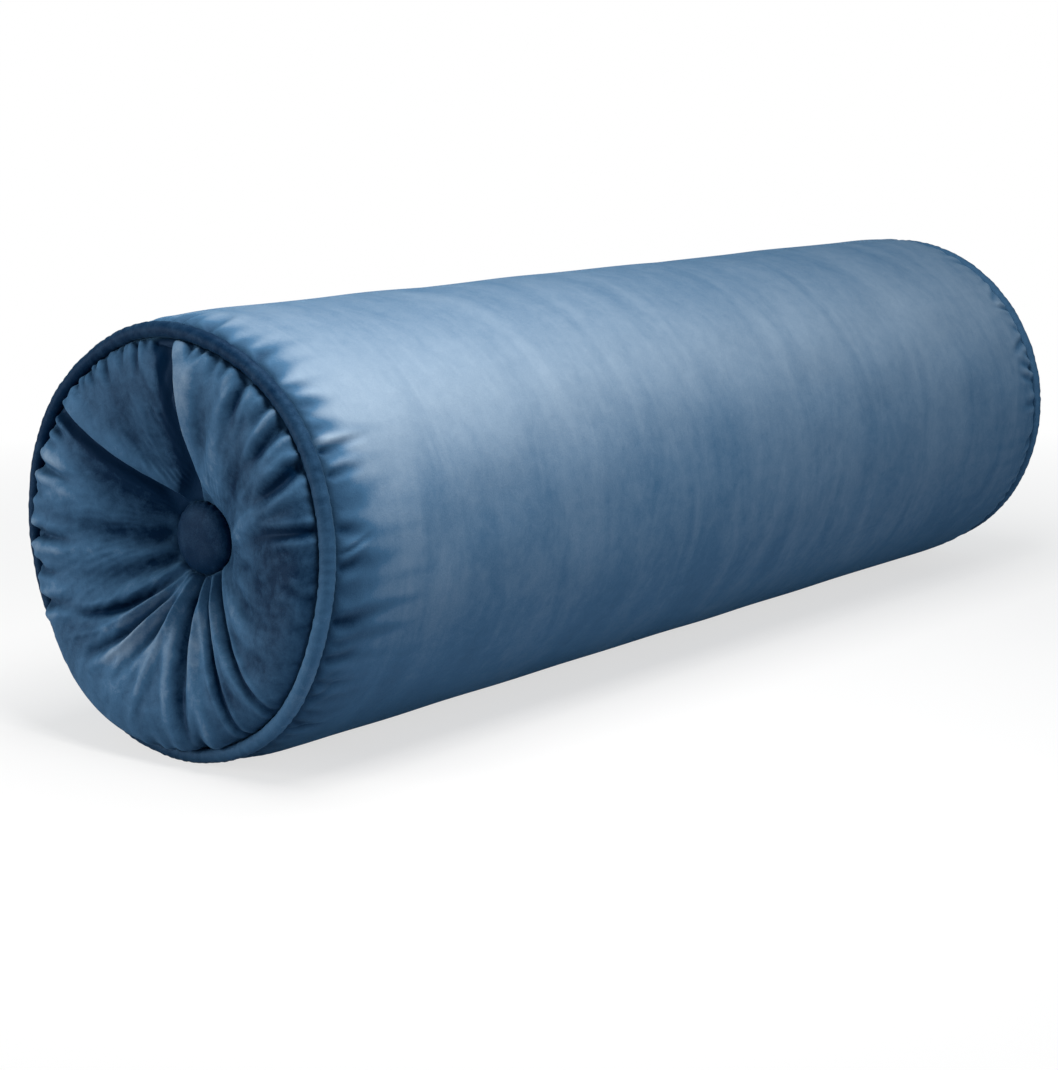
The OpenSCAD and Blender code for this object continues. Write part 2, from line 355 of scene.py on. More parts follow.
def painted_metal(name, shade, metallic=0.6):
    """Painted or plated metal with faint brushing and paler worn spots."""
    r = Recipe(name)
    brushed = r.noise(r.place((900, 120, 900)), 1.0, 2.0, 0.6)
    worn = r.noise(r.place(), 260.0, 3.0, 0.6)
    spots = (worn * 6.0 - 3.6).within()
    return r.finish(
        {
            "Base Color": r.mix(spots * 0.5, shade, toned(shade, 1.8, 0.05)),
            "Metallic": metallic,
            "Roughness": 0.32 + (brushed - 0.5) * 0.25,
            "Normal": r.bump(brushed, 0.00004, 0.6),
        }
    )


def plain_cloth(name, shade):
    """Cotton, twine or fibre that lies hidden inside: a fine weave in its own colour."""
    r = Recipe(name)
    weave = r.noise(r.place((900, 900, 900)), 1.0, 2.0, 0.6)
    mottle = r.noise(r.place(), 40.0, 3.0, 0.6)
    return r.finish(
        {
            "Base Color": r.mix(
                (weave * 0.6 + mottle * 0.4).within(), toned(shade, 0.72), shade
            ),
            "Roughness": 0.9 - weave * 0.1,
            "Normal": r.bump(weave, 0.0003, 0.6),
        }
    )


def foam_cells(name, shade):
    """Open-cell foam: small pits all over, darker in their hollows as painted shade."""
    r = Recipe(name)
    inputs = {"Vector": r.place(), "Scale": 900.0}
    cells = r.node("ShaderNodeTexVoronoi", {"feature": "F1"}, inputs, "Distance")
    return r.finish(
        {
            "Base Color": r.mix(cells.within(), toned(shade, 0.6), shade),
            "Roughness": 0.9,
            "Normal": r.bump(cells, 0.0006, 0.8),
        }
    )


# ---------- surfaces ----------


def grid_mesh(name, points, wrap_rows=False, wrap_columns=False):
    """A mesh from points[row, column, xyz]; either direction may close on itself."""
    rows, columns = points.shape[:2]
    row_ids = np.arange(rows if wrap_rows else rows - 1)
    column_ids = np.arange(columns if wrap_columns else columns - 1)
    i, j = np.meshgrid(row_ids, column_ids, indexing="ij")
    i2, j2 = (i + 1) % rows, (j + 1) % columns
    faces = np.stack([i * columns + j, i * columns + j2, i2 * columns + j2, i2 * columns + j], -1)
    return faces_mesh(name, points.reshape(-1, 3), faces.reshape(-1, 4))


def faces_mesh(name, points, faces):
    """A smooth-shaded mesh object at the origin from points and four-cornered faces."""
    mesh = bpy.data.meshes.new(name)
    mesh.vertices.add(len(points))
    mesh.vertices.foreach_set("co", np.ascontiguousarray(points, np.float32).ravel())
    mesh.loops.add(faces.size)
    mesh.loops.foreach_set("vertex_index", np.ascontiguousarray(faces, np.int32).ravel())
    mesh.polygons.add(len(faces))
    mesh.polygons.foreach_set("loop_start", np.arange(0, faces.size, 4, dtype=np.int32))
    mesh.polygons.foreach_set("loop_total", np.full(len(faces), 4, np.int32))
    mesh.update(calc_edges=True)
    mesh.validate()
    mesh.shade_smooth()
    piece = bpy.data.objects.new(name, mesh)
    bpy.context.scene.collection.objects.link(piece)
    return piece


def keep_number(piece, name, numbers):
    """Keeps one number a point as an attribute, for a material to read."""
    layer = piece.data.attributes.new(name, "FLOAT", "POINT")
    layer.data.foreach_set("value", np.ascontiguousarray(numbers, np.float32).ravel())


def even_path(corners, step):
    """Rounds a path by cutting its corners four times, then spaces points evenly on it."""
    path = np.asarray(corners, float)
    for _ in range(4):
        cut = np.empty((2 * len(path), path.shape[1]))
        cut[0], cut[-1] = path[0], path[-1]
        cut[1:-1:2] = 0.75 * path[:-1] + 0.25 * path[1:]
        cut[2:-1:2] = 0.25 * path[:-1] + 0.75 * path[1:]
        path = cut
    along = np.r_[0, np.cumsum(np.linalg.norm(np.diff(path, axis=0), axis=1))]
    places = np.linspace(0, along[-1], max(2, round(along[-1] / step) + 1))
    return np.stack([np.interp(places, along, path[:, k]) for k in range(path.shape[1])], -1)


def step_up(x, start, end):
    """0 before start, 1 after end, and an S-curve 3t^2 - 2t^3 between."""
    t = np.clip((x - start) / (end - start), 0, 1)
    return t * t * (3 - 2 * t)


def turn_between(a, b):
    """The angle from b to a, between -pi and pi."""
    return (a - b + math.pi) % (2 * math.pi) - math.pi


def degrees(*values):
    """Angles in radians from degrees."""
    return [math.radians(v) for v in values]


def swell(angle, place, width, power=2):
    """1 where an angle is at place, and exp(-(turn/width)^power) away from it."""
    return np.exp(-((turn_between(angle, place) / width) ** power))


def full_turn(count):
    """Evenly spaced angles once round."""
    return np.linspace(0, 2 * math.pi, count, endpoint=False)


def ripple(angle, other, seed, low, high, count=7):
    """Smooth seeded noise, about -1 to 1: a sum of cosines of whole turns of the angle.

    Each cosine has low to high turns and a phase of its own, which also drifts with other.
    """
    rng = np.random.default_rng(seed)
    total = 0
    for _ in range(count):
        turns = rng.integers(low, high + 1)
        drift = rng.uniform(-1, 1) * 2.0 * other
        total = total + np.cos(turns * angle + drift + rng.uniform(0, 6.28))
    return total / math.sqrt(count)


def creases(angle, radius, depth_in, strokes):
    """The height left by creases and ridges drawn along strokes.

    depth_in is the distance in from the seam. A stroke gives the angle at its start and
    end, the distance in of both, its height, its half-width and its sharpness: its height
    falls off across it as exp(-|x|/w) when sharp and as exp(-x^2/w^2) when soft, a crease
    has a low welt on both sides, and the inner end fades out.
    """
    total = np.zeros_like(angle + depth_in)
    for a0, a1, d0, d1, height, width, sharp in strokes:
        t = (depth_in - d0) / max(d1 - d0, 1e-6)
        centre = a0 + (a1 - a0) * np.clip(t, -0.5, 1.5)
        across = np.abs(turn_between(angle, centre)) * radius / width
        soft = np.exp(-(across**2))
        keen = np.exp(-np.sqrt(across**2 + 0.05))
        welt = 0.45 * np.exp(-((across - 2.1) ** 2) / 1.1) if height < 0 else 0
        fade_out = 1 - step_up(t, 0.35, 1.05)
        total += height * (sharp * keen + (1 - sharp) * soft - welt) * fade_out
    return total


# ---------- the cushion's ends ----------

MM = 0.001
END_FACING = {"left": (-1, 0, 0), "right": (1, 0, 0)}
# The right end is turned by this much, so that it does not repeat the left one.
RIGHT_TURN = math.radians(148)


def end_clock(side, clock):
    """Where a clock angle of the left end comes on either end: the right one is mirrored."""
    return clock if side == "left" else RIGHT_TURN - clock


def seam_sway(side, clock):
    """How far a piped seam stands out past its plane: a few smooth lumps round the clock."""
    lumps = {
        "left": ((45, 28, -3.2), (112, 24, 3.4), (332, 20, -3.2), (205, 30, 0.8)),
        "right": ((80, 30, 1.6), (190, 34, -1.4), (290, 26, 1.8)),
    }[side]
    total = 0
    for place, width, out in lumps:
        total = total + out * MM * swell(clock, *degrees(place, width))
    return total


def end_point(side, across, up, out):
    """A point of an end: across to the right and up as seen from outside, and outwards."""
    sizes = bpy.context.scene.bolster_sizes
    sign = -1 if side == "left" else 1
    x = sign * (sizes.seam_distance / 2 + out)
    y = sign * across
    z = up + sizes.axis_height
    x, y, z = np.broadcast_arrays(x, y, z)
    return np.stack([x, y, z], -1)


def crowded_angles(count, places, width, extra):
    """Angles round a full turn, set closer together near the given places."""
    fine = np.linspace(0, 2 * math.pi, 7201)
    weight = np.ones_like(fine)
    for place in places:
        weight += extra * swell(fine, place, width)
    along = np.r_[0, np.cumsum((weight[1:] + weight[:-1]) / 2)]
    return np.interp(np.linspace(0, along[-1], count + 1)[:-1], along, fine)


def rim_gathers(seed, pitch, depth, ring, shares):
    """Strokes for the gathers at a seam: uneven places, lengths and depths."""
    rng = np.random.default_rng(seed)
    count = round(2 * math.pi * ring / pitch)
    strokes = []
    for i in range(count):
        place = (i + rng.uniform(-0.36, 0.36)) * 2 * math.pi / count
        share = 0.0
        for middle_angle, width, value in shares:
            share = max(share, value * swell(place, *degrees(middle_angle, width), 4))
        long = rng.uniform() < 0.36
        reach = rng.uniform(0.017, 0.034) if long else rng.uniform(0.005, 0.014)
        lean = rng.normal(0, 0.05 if long else 0.03)
        height = -depth * share * rng.uniform(0.55, 1.25) * (1.15 if long else 0.9)
        width = rng.uniform(0.0016, 0.0026) if long else rng.uniform(0.0010, 0.0018)
        strokes.append((place, place + lean, 0.0, reach * (0.5 + 0.5 * share), height, width, 0.75))
    return strokes


# Folds of a gathered end, drawn on the clock in degrees and millimetres from the centre:
# angle at the button, angle at the rim, radius where it starts and ends, height, half-width
# and sharpness.
RADIATING = (
    (208, 232, 23, 78, 3.2, 2.4, 0.4),
    (213, 240, 25, 72, -3.0, 2.2, 0.4),
    (196, 217, 23, 78, 3.6, 2.4, 0.4),
    (202, 222, 25, 76, -3.4, 2.2, 0.4),
    (187, 193, 23, 88, 3.4, 3.2, 0.2),
    (192, 205, 25, 72, -2.8, 2.2, 0.3),
    (174, 167, 23, 108, -4.0, 3.4, 0.3),
    (163, 158, 23, 104, 2.8, 3.2, 0.0),
    (152, 148, 24, 108, -3.2, 1.5, 0.9),
    (146, 140, 24, 92, 2.2, 2.8, 0.0),
    (139, 134, 24, 110, -3.2, 1.7, 0.8),
    (126, 124, 32, 74, 1.5, 4.4, 0.0),
    (113, 117, 36, 66, -1.2, 3.2, 0.3),
    (97, 88, 38, 62, -1.0, 3.2, 0.3),
    (78, 62, 34, 84, 2.2, 5.0, 0.0),
    (56, 46, 38, 76, -1.6, 4.2, 0.2),
    (36, 30, 38, 80, 1.2, 5.4, 0.0),
    (24, 20, 30, 70, -1.0, 3.0, 0.2),
    (224, 240, 24, 62, 1.4, 3.0, 0.0),
    (240, 252, 24, 66, -1.3, 3.0, 0.2),
    (254, 262, 25, 60, 0.8, 3.4, 0.0),
    (268, 273, 26, 60, -0.9, 3.6, 0.2),
    (288, 286, 28, 60, 0.5, 4.6, 0.0),
)
# Large puckers that run in from the rim, in degrees and millimetres: angle at the rim and
# at the inner end, reach, height, half-width and sharpness.
PUCKERS = (
    (20, 22, 14, -1.3, 1.6, 0.7),
    (31, 36, 24, -2.6, 2.0, 0.7),
    (41, 44, 14, -1.6, 1.6, 0.7),
    (48, 54, 26, -3.1, 2.0, 0.7),
    (61, 67, 30, -3.8, 2.2, 0.8),
    (79, 78, 32, -2.2, 1.5, 0.9),
    (98, 95, 18, -1.0, 1.6, 0.7),
    (166, 163, 20, -2.0, 2.0, 0.5),
    (182, 184, 16, -1.2, 2.0, 0.5),
    (248, 240, 30, -3.0, 1.9, 0.6),
    (259, 252, 24, -2.2, 1.5, 0.6),
    (268, 265, 33, -3.0, 1.9, 0.6),
    (279, 281, 17, -1.7, 1.5, 0.6),
    (288, 290, 30, -2.7, 1.8, 0.6),
    (300, 303, 15, -1.6, 1.5, 0.6),
    (323, 326, 12, -1.3, 1.3, 0.6),
    (331, 333, 17, -1.5, 1.4, 0.6),
    (340, 340, 13, -1.3, 1.3, 0.6),
    (347, 348, 18, -1.5, 1.3, 0.6),
)
# Deep tucks where the gathered cloth laps over itself, each along a straight line: the
# line's clock angle, how far it passes beside the middle, how far it bows to the right,
# depth, width of the shaded slot, and how far the upper edge laps over it.
TUCKS = ((2.0, -1.6, 3.0, 6.0, 12.0, 3.0), (302.5, 6.9, -1.0, 4.6, 7.5, 2.8))
# An end's outline from the seam in to the button, radius and height in millimetres: full at
# its foot, lean elsewhere.
FULL = (
    (89.6, -1.0), (89.6, 2.0), (91.2, 5.0), (91.2, 9.0), (87.5, 12.8), (79.0, 15.0), (69.0, 14.0),
    (58.0, 10.4), (47.5, 5.0), (38.0, -1.0), (30.0, -6.6), (24.0, -11.4), (19.0, -16.0),
    (16.0, -18.8), (13.5, -20.4), (10.0, -21.0),
)
LEAN = (
    (89.6, -1.0), (89.4, 0.6), (88.6, 2.6), (86.0, 4.4), (81.0, 5.6), (74.0, 5.7), (65.0, 4.6),
    (56.0, 2.5), (47.0, -0.5), (38.0, -4.6), (30.0, -9.0), (24.0, -12.9), (19.0, -16.6),
    (16.0, -18.8), (13.5, -20.4), (10.0, -21.0),
)
# The casing behind a gathered end, radius and height in millimetres: no fold goes deeper.
CASING = (
    (0, -60), (36, -17.7), (44, -9.6), (52, -3.8), (60, -0.2), (64, 0.6), (79, 0.6), (81.5, -1.8),
    (88, -7.2), (99, -14),
)
# Patches of painted light and shade on the gathered velvet, lighter where light falls and darker
# where it does not: clock angle and its width, radius in millimetres and its width, and how
# much lighter it looks.
PAINTED_LIGHT_AND_SHADE = (
    (222, 30, 74, 26, 0.04), (46, 30, 56, 24, -0.16), (285, 32, 36, 20, -0.14),
    (118, 30, 64, 30, -0.16), (332, 20, 66, 26, -0.20), (86, 26, 72, 22, -0.27),
    (294, 12, 76, 14, 0.22), (16, 12, 74, 14, 0.10), (228, 12, 60, 26, -0.26),
    (205, 12, 48, 24, 0.12), (184, 10, 66, 20, -0.10), (150, 16, 74, 20, -0.14),
)
# How strongly each part of the rim is gathered: clock angle, width and share.
GATHERED = ((290, 62, 0.8), (8, 30, 0.7), (55, 40, 0.45), (120, 30, 0.2), (185, 40, 0.3))


def end_outline(clock):
    """An end's outline in millimetres, on a grid of rows from the seam in and columns round.

    It lies between LEAN and FULL, by a fullness that peaks at the lower left of the clock.
    """
    rows = np.linspace(0, 1, 150) ** 1.08
    spaced = []
    for corners in (LEAN, FULL):
        path = even_path(corners, 0.5)
        places = rows * (len(path) - 1)
        spaced.append([np.interp(places, np.arange(len(path)), path[:, k]) for k in (0, 1)])
    lean, full = (np.stack(path, -1) for path in spaced)
    fullness = swell(clock, math.radians(205), 0.95)
    fullness = fullness + 0.38 * swell(clock, math.radians(75), 0.75)
    fullness = fullness + 0.22 * swell(clock, math.radians(278), 0.30)
    fullness = np.clip(fullness, 0, 1.05)
    return lean[:, None] + (full - lean)[:, None] * fullness[None, :, None]


def end_folds(side, angle, radius, inward):
    """The height of an end's gathers, puckers, folds and small unevenness."""
    sizes = bpy.context.scene.bolster_sizes
    seed = 11 if side == "left" else 47
    gathers = rim_gathers(seed, sizes.gather_pitch, sizes.gather_depth, sizes.piping_ring, GATHERED)
    puckers = [
        (*degrees(rim, end), 0.0, reach * MM * 1.25, height * MM * 1.15, width * MM * 1.35, sharp)
        for rim, end, reach, height, width, sharp in PUCKERS
    ]
    folds = [
        (*degrees(hub, rim), start * MM, end * MM, height * MM, width * MM, sharp)
        for hub, rim, start, end, height, width, sharp in RADIATING
    ]
    near_hub = 1 - step_up(radius, 0.026, 0.050)
    smooth_side = swell(angle, math.radians(78), 0.95, 4) * near_hub
    band = step_up(radius, 0.018, 0.034) * (1 - step_up(radius, 0.070, 0.088))
    height = creases(angle, np.maximum(radius, 0.03), inward, gathers + puckers)
    height = height + creases(angle, radius, radius, folds) * (1 - 0.9 * smooth_side)
    height = height + 0.00040 * band * ripple(angle, radius * 60, seed + 1, 9, 26, 9)
    fine = 0.00010 * step_up(inward, 0.0, 0.01) * band
    return height + fine * ripple(angle, radius * 300, seed + 2, 30, 90, 9)


def cut_tucks(angle, radius, height):
    """Cuts the tucks: the new height, the shift sideways in metres, and how shaded it is.

    u is the distance across a tuck in millimetres, below 0 on its sloping side; the side
    above 0 bulges by 1.5 mm and laps back over the slot.
    """
    shift, painted_shade = np.zeros_like(radius), np.zeros_like(radius)
    reach = np.maximum(radius, 0.01)
    for line, beside, bow, depth, slot, lap in TUCKS:
        centre = math.radians(line) + np.arcsin(np.clip(beside * MM / reach, -1, 1))
        strong = step_up(radius, 0.015, 0.030) * (1 - 0.35 * step_up(radius, 0.080, 0.090))
        share = np.clip((radius - 0.018) / 0.072, 0, 1)
        aside = (lap + 0.40 * slot) * strong + 4 * bow * share * (1 - share)
        u = turn_between(angle, centre + aside * MM / reach) * radius / MM
        flat = np.exp(-((np.abs(u) / slot) ** 4))
        floor = np.where(u < 0, flat, np.exp(-((u / 1.1) ** 2)))
        slope = np.where(u < 0, np.exp(-np.abs(u) / 12), 0)
        bulge = np.where(u > 0, np.exp(-(((u - 4.0) / 5.0) ** 2)), 0) * step_up(u, 0, 2)
        height = height * (1 - 0.9 * floor) - depth * MM * strong * (0.62 * floor + 0.38 * slope)
        height = height + 1.5 * MM * strong * bulge
        shift = shift - lap * MM * strong * np.exp(-(((u - 2.2) / 2.3) ** 2))
        # Painted shade in the tuck's slot and down its sloping side.
        shade = np.where(u < 0, flat + 0.30 * slope, np.exp(-((u / 0.9) ** 2)))
        painted_shade = np.maximum(painted_shade, shade * step_up(radius, 0.015, 0.022))
    return height, shift, painted_shade


def end_cloth(side):
    """A gathered end as (points, nap) on a grid of rows from the seam in and columns round.

    The base is a turned outline. Every fold is added square to it, and none goes deeper
    than the casing behind. The nap holds painted light and shade: painted highlights on ridges
    and painted shade in hollows, tucks and round the button, with painted patches of both.
    """
    clock = crowded_angles(860, degrees(359, 2, 309, 318), 0.12, 1.5)
    outline = end_outline(clock)
    radius, out = outline[..., 0] * MM, outline[..., 1] * MM
    slope = np.gradient(outline, axis=0)
    slope /= np.linalg.norm(slope, axis=-1, keepdims=True)
    lengths = np.linalg.norm(np.diff(outline, axis=0), axis=-1)
    inward = np.concatenate([np.zeros((1, len(clock))), np.cumsum(lengths, axis=0)]) * MM
    angle = np.broadcast_to(clock, radius.shape)

    height = end_folds(side, angle, radius, inward)
    height, shift, painted_shade = cut_tucks(angle, radius, height)
    keep = step_up(inward, 0.0005, 0.004) * step_up(radius, 0.0155, 0.020)
    height = height * keep
    radius = radius + height * slope[..., 1]
    out = out - height * slope[..., 0]
    angle = angle + shift * keep / np.maximum(radius, 0.01)
    out = out + seam_sway(side, clock) * (1 - step_up(inward, 0.0, 0.05))
    out = np.maximum(out, np.interp(radius / MM, *np.transpose(CASING)) * MM)
    angle = end_clock(side, angle)
    points = end_point(side, radius * np.sin(angle), radius * np.cos(angle), out)

    # Painted light and shade: lighter on ridges, darker in hollows, near the button and in tucks,
    # then the painted patches.
    nap = np.clip(0.30 * height / (2.0 * MM), -0.26, 0.26)
    nap = nap - 0.16 * (1 - step_up(radius, 0.020, 0.044)) - 0.74 * np.minimum(painted_shade, 1)
    for place, width, ring, spread, amount in PAINTED_LIGHT_AND_SHADE:
        far = (turn_between(clock, math.radians(place)) / math.radians(width)) ** 2
        nap = nap + amount * np.exp(-far - ((radius / MM - ring) / spread) ** 2)
    return points, nap


# ---------- the pieces ----------


class MESH_OT_bolster_ends(bpy.types.Operator):
    """Makes both gathered ends: velvet drawn in from the piped seam to the button."""

    bl_idname = "mesh.bolster_ends"
    bl_label = "Gathered ends"

    def execute(self, context):
        # The ends take a darker copy of the velvet as painted shade; their nap attribute holds
        # painted light and shade.
        cloth = velvet("gathered velvet", -0.10, streaks=0.5, crush=0.50, nap="nap", sheen=0.08)
        for side in ENDS:
            points, nap = end_cloth(side)
            piece = grid_mesh(f"gathered_end_{side}", points, wrap_columns=True)
            outward_faces(piece, END_FACING[side])
            keep_number(piece, "nap", nap)
            piece.data.materials.append(cloth)
            place_velvet(piece, f"end_panel_{side}")
        return {"FINISHED"}


def outward_faces(piece, away):
    """Turns every face over if, on the whole, they look against away.

    away is a direction, or a function that gives one for every face's centre.
    """
    mesh = piece.data
    normals, centres = np.empty((2, len(mesh.polygons) * 3))
    mesh.polygons.foreach_get("normal", normals)
    mesh.polygons.foreach_get("center", centres)
    if callable(away):
        away = away(centres.reshape(-1, 3))
    if (normals.reshape(-1, 3) * away).sum() < 0:
        mesh.flip_normals()


def off_axis(centres):
    """From the cushion's axis to each centre, square to the axis."""
    return (centres - (0, 0, bpy.context.scene.bolster_sizes.axis_height)) * (0, 1, 1)


def off_ring(centres):
    """From the middle line of the piping to each centre, along the spoke that it lies on."""
    spoke = off_axis(centres)
    far = np.linalg.norm(spoke, axis=1, keepdims=True)
    return spoke / far * (far - bpy.context.scene.bolster_sizes.piping_ring)


def place_velvet(piece, node):
    """Hands a velvet piece to the frame in place of its CAD node."""
    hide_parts(node)
    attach(piece, "cushion")


class MESH_OT_bolster_body(bpy.types.Operator):
    """Makes the velvet tube: puckered at both seams, pressed flat below, slit for the zip."""

    bl_idname = "mesh.bolster_body"
    bl_label = "Body"

    def execute(self, context):
        sizes = context.scene.bolster_sizes
        piece = body_tube(sizes)
        piece.data.materials.append(velvet("body velvet", streaks=0.8, crush=0.16, nap="nap"))
        place_velvet(piece, "cover_body")
        return {"FINISHED"}


# The body's outline at a seam in millimetres: distance from the seam and radius.
SHOULDER = (
    (0.4, 89.4), (2.6, 89.8), (4.0, 91.6), (4.6, 94.4), (6.6, 96.3), (11.0, 97.4), (18.0, 98.2),
    (28.0, 98.8), (42.0, 99.0), (60.0, 99.0),
)
# Bands of painted highlight round the body, the strongest where the light falls at 51 degrees:
# clock angle from the left, width, and how much lighter it makes the velvet.
PAINTED_HIGHLIGHT_BANDS = ((51, 24, 0.40), (14, 26, 0.15), (92, 24, 0.11), (128, 30, 0.01), (312, 34, 0.26))
# The zip's place round the body, and where its slot starts and ends to close up.
ZIP_ANGLE = math.radians(25)
SLOT_ENDS = (0.216, 0.226)
# The hem at the zip in millimetres: how far each column lies from the slot, and how far
# above the cloth around it; below it is negative.
HEM_ACROSS = np.array([9.0, 5.0, 0.9, 0.3, 0.0, 0.28, 0.9, 2.0])
HEM_LIFT = np.array([-1.5, -1.5, -1.5, -1.3, -0.75, -0.2, 0.0, 0.0])


def body_rows(length):
    """Distances from the left seam, closer together at both ends, and the radius at each."""
    shoulder = even_path(SHOULDER, 0.2) * MM
    along = np.r_[0, np.cumsum(np.linalg.norm(np.diff(shoulder, axis=0), axis=1))]
    near = np.r_[np.arange(0, 0.036, 0.0008), 0.036 + 0.0009 * np.cumsum(1.09 ** np.arange(14))]
    reach = np.interp(near, along, shoulder[:, 0])
    level = np.interp(near, along, shoulder[:, 1])
    middle_count = 66
    gap = np.linspace(reach[-1], length - reach[-1], middle_count + 2)[1:-1]
    from_left = np.r_[reach, gap, length - reach[::-1]]
    return from_left, np.r_[level, np.full(middle_count, level[-1]), level[::-1]]


def body_columns(x, ring):
    """Angles from the zip for every row at x, and how far the hem lifts the cloth at each."""
    slot = (0.03 + 1.17 * (1 - step_up(np.abs(x), *SLOT_ENDS))) * MM
    count = 560
    start = 4.0 * MM / ring
    body = np.linspace(start, 2 * math.pi - start, count)
    across = np.concatenate(
        [
            (HEM_ACROSS[None, :] * MM + slot[:, None]) / ring,
            np.broadcast_to(body, (len(x), count)),
            2 * math.pi - (HEM_ACROSS[None, ::-1] * MM + slot[:, None]) / ring,
        ],
        1,
    )
    return across, np.concatenate([HEM_LIFT, np.zeros(count), HEM_LIFT[::-1]])[None, :] * MM


def body_tube(sizes):
    """The body on a grid of rows along it and columns round it, from one zip edge to the other.

    Its radius is the shoulder's outline by distance from the nearer seam, less the puckers;
    below the floor's level it is pressed flat; at the zip both edges roll in as a hem.
    """
    ring, length = sizes.body_radius, sizes.seam_distance
    from_left, outline = body_rows(length)
    from_right = length - from_left
    x = from_left - length / 2
    across, lift = body_columns(x, ring)
    angle = across + ZIP_ANGLE
    clock_left = np.arctan2(-np.cos(angle), np.sin(angle))
    clock_right = np.arctan2(np.cos(angle), np.sin(angle))
    distance = np.broadcast_to(np.minimum(from_left, from_right)[:, None], angle.shape)
    pucker = np.zeros_like(angle)
    ends = ((clock_left, from_left < 0.06, 7), (clock_right, from_right < 0.06, 23))
    for clock, rows, seed in ends:
        strokes = body_puckers(seed, sizes)
        pucker[rows] = creases(clock[rows], ring, distance[rows] - 0.0035, strokes)
    settle = step_up(distance, 0.0038, 0.0068)
    near_zip = np.minimum(across, 2 * math.pi - across) * ring
    waves = 0.0005 * ripple(angle, x[:, None] * 9, 5, 2, 5, 6)
    waves = waves + 0.00022 * ripple(angle, x[:, None] * 40, 9, 6, 16, 8)
    waves = waves * step_up(distance, 0.004, 0.05) * (0.3 + 0.7 * step_up(near_zip, 0.004, 0.03))
    seam_dip = -0.0007 * np.exp(-((near_zip / 0.004) ** 2))
    relief = pucker * settle + waves + seam_dip * settle
    radius = outline[:, None] + lift + relief * (lift > -0.0004)
    z = radius * np.sin(angle) + sizes.axis_height
    pressed = 0.0016
    z = pressed * np.logaddexp(0, z / pressed)
    sway_left = seam_sway("left", clock_left) * np.exp(-from_left[:, None] / 0.05)
    sway_right = seam_sway("right", end_clock("right", clock_right))
    sway_right = sway_right * np.exp(-from_right[:, None] / 0.05)
    along = np.broadcast_to(x[:, None], angle.shape) - sway_left + sway_right
    piece = grid_mesh("velvet_body", np.stack([along, radius * np.cos(angle), z], -1))
    outward_faces(piece, off_axis)

    # The body's nap attribute is painted light and shade: painted highlight bands that fade towards
    # the right end, painted shade in a ragged band beside each seam, weaker at the right, and in
    # the puckers.
    painted_highlight = np.zeros_like(angle)
    for place, width, amount in PAINTED_HIGHLIGHT_BANDS:
        painted_highlight = painted_highlight + amount * swell(clock_left, *degrees(place, width))
    painted_highlight = painted_highlight * (1.08 - 0.50 * np.clip(from_left / length, 0, 1))[:, None]
    seam_shade_width = 0.014 + 0.005 * ripple(clock_left, distance * 60, 15, 6, 60, 15)
    seam_shade_width = np.clip(seam_shade_width, 0.006, 0.030) * (1 + 0.6 * swell(clock_left, math.radians(100), 0.6))
    painted_shade = np.exp(-((distance / seam_shade_width) ** 2)) * np.where(x < 0, 1.0, 0.25)[:, None]
    keep_number(piece, "nap", painted_highlight * (1 - painted_shade) - 0.27 * painted_shade + 0.13 * pucker * settle / MM)
    return piece


def body_puckers(seed, sizes):
    """Strokes for the puckers that the seam draws in the body beside the piping."""
    rng = np.random.default_rng(seed)
    count = round(2 * math.pi * sizes.piping_ring / (sizes.gather_pitch * 0.80))
    strokes = []
    for i in range(count):
        place = (i + rng.uniform(-0.75, 0.75)) * 2 * math.pi / count
        strong = rng.uniform() ** 1.8
        reach = 0.008 + 0.026 * strong * rng.uniform(0.5, 1.0)
        height = -sizes.pucker_depth * (0.12 + 1.20 * strong)
        lean, width = rng.normal(0, 0.07), rng.uniform(0.0012, 0.0030)
        strokes.append((place, place + lean, 0.0, reach, height, width, 0.35))
    return strokes


def ring_piece(name, side, clock, round_it, thick):
    """A tube round a piped seam, as thick as told at every angle, that sways with the seam."""
    radius = bpy.context.scene.bolster_sizes.piping_ring + thick * np.cos(round_it)
    out = thick * np.sin(round_it) + seam_sway(side, clock)
    turned = end_clock(side, clock)
    points = end_point(side, radius * np.sin(turned), radius * np.cos(turned), out)
    points[..., 2] = np.maximum(points[..., 2], 0.0)
    piece = grid_mesh(name, points, wrap_rows=True, wrap_columns=True)
    outward_faces(piece, off_ring)
    return piece


